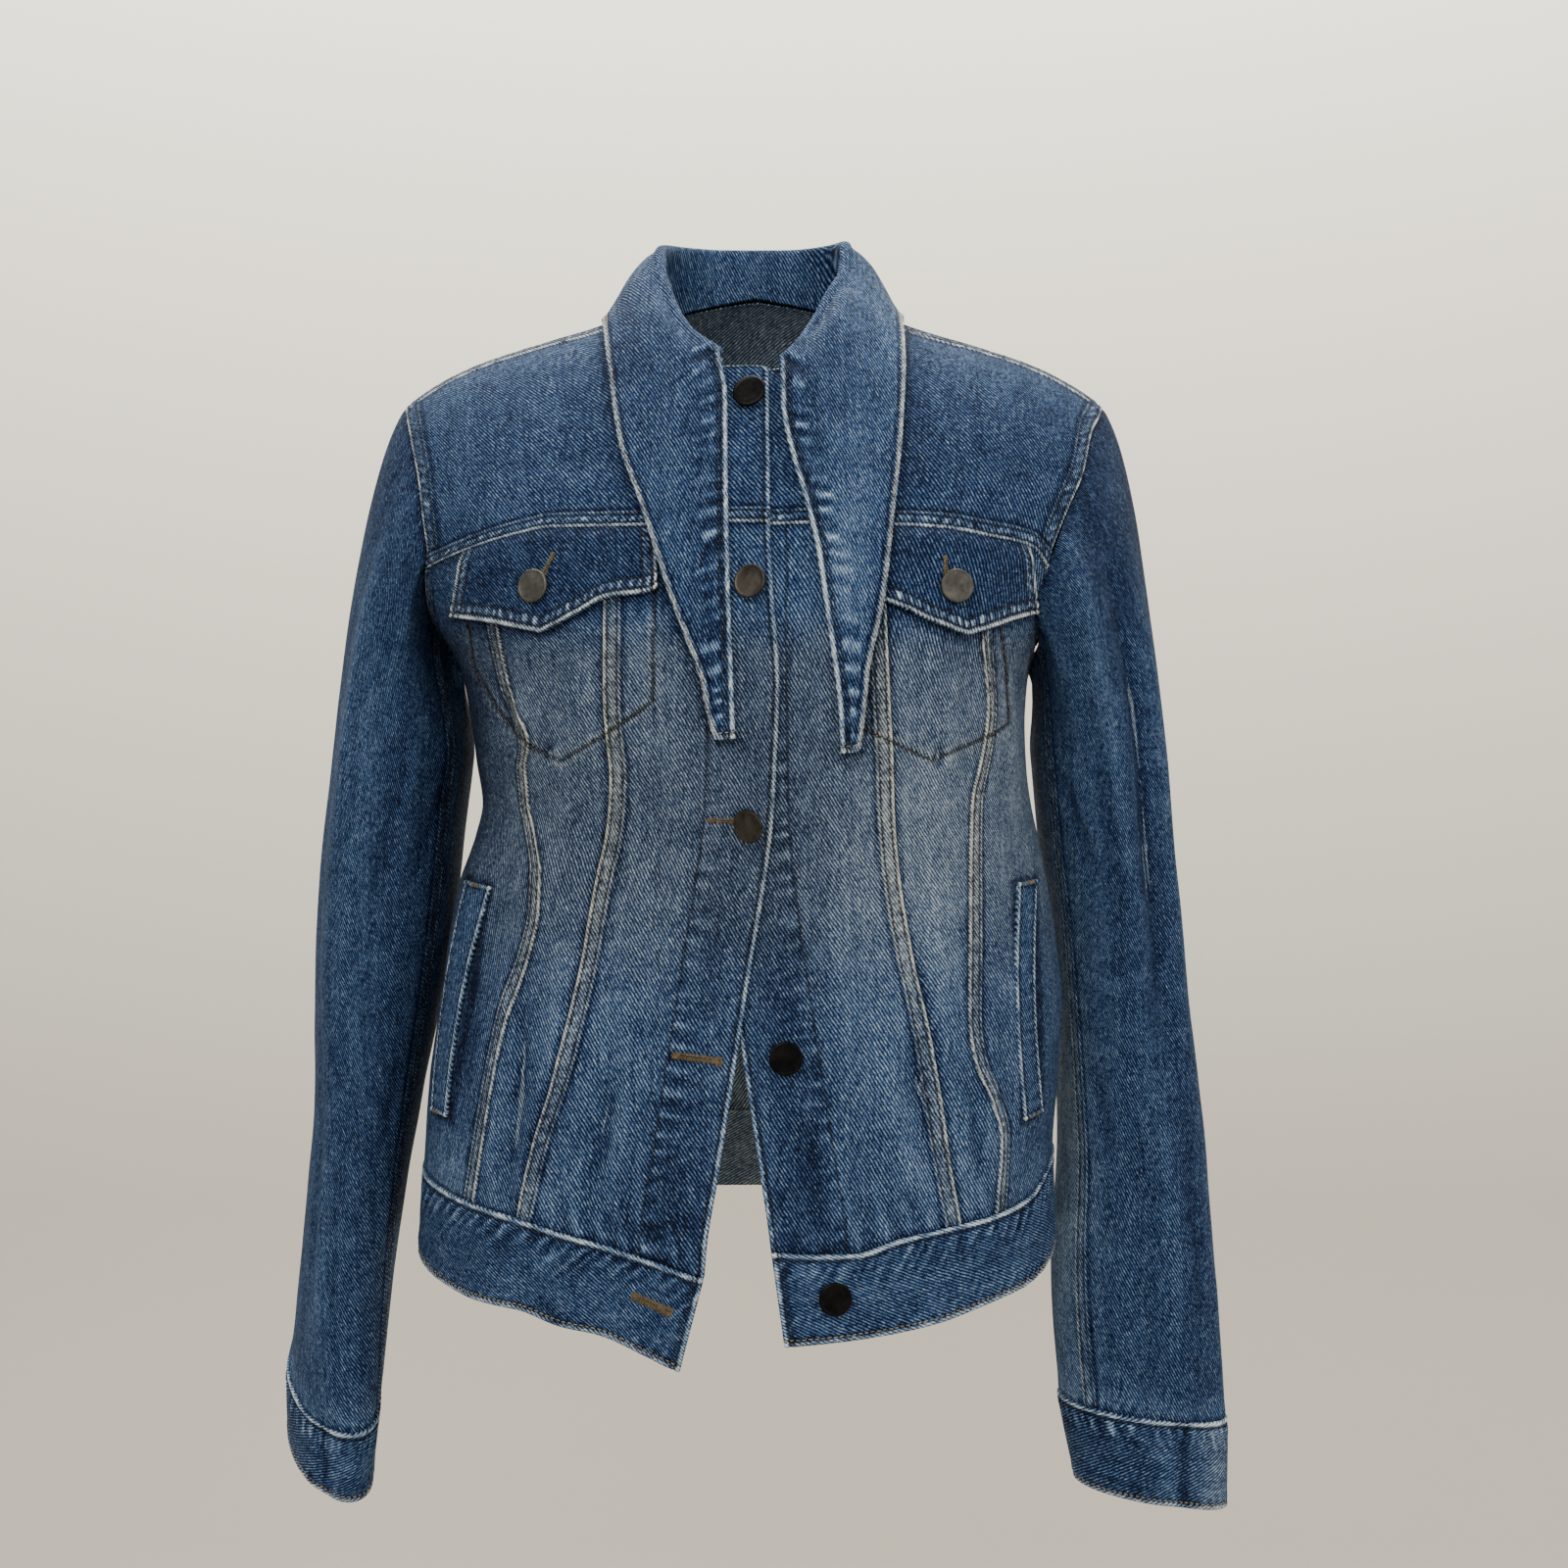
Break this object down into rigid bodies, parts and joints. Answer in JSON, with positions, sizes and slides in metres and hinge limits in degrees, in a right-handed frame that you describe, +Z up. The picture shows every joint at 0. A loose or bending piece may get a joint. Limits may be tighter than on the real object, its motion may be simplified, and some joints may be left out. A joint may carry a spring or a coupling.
{
  "type": "denim jacket",
  "caption": "Fitted denim jacket with a long pointed collar, chest flaps, welt pockets, waistband and cuffs, kept in its hollow worn form.",
  "frame": {"origin": "centre of the neck opening, level with the side of the neck, where the wearer's neck and shoulders hold the garment", "axes": "+Z up along the wearer, -Y out of the garment's front, +X to the wearer's left"},
  "size_m": [0.5434, 0.2471, 0.7198],
  "materials": {
    "denim_dark": "mid-blue right-hand twill, lightly washed",
    "denim_faded": "mid-blue twill, faded grey-white by washing",
    "gunmetal": "dull gunmetal plating"
  },
  "bodies": {
    "root": {"front_center_r": "denim_faded", "front_center_l": "denim_faded", "front_mid_r": "denim_faded", "front_mid_l": "denim_faded", "front_side_r": "denim_faded", "front_side_l": "denim_faded", "front_yoke_r": "denim_dark", "front_yoke_l": "denim_dark", "back_side_r": "denim_faded", "back_side_l": "denim_faded", "flap_r": "denim_dark", "flap_l": "denim_dark", "welt_r": "denim_faded", "welt_l": "denim_faded", "sleeve_upper_r": "denim_dark", "sleeve_upper_l": "denim_dark", "sleeve_under_r": "denim_dark", "sleeve_under_l": "denim_dark", "cuff_r": "denim_dark", "cuff_l": "denim_dark", "back_center": "denim_faded", "back_yoke": "denim_dark", "waistband": "denim_dark", "collar": "denim_dark", "button_neck": "gunmetal", "button_chest": "gunmetal", "button_waist": "gunmetal", "button_lower": "gunmetal", "button_band": "gunmetal", "button_flap_r": "gunmetal", "button_flap_l": "gunmetal"}
  },
  "joints": []
}
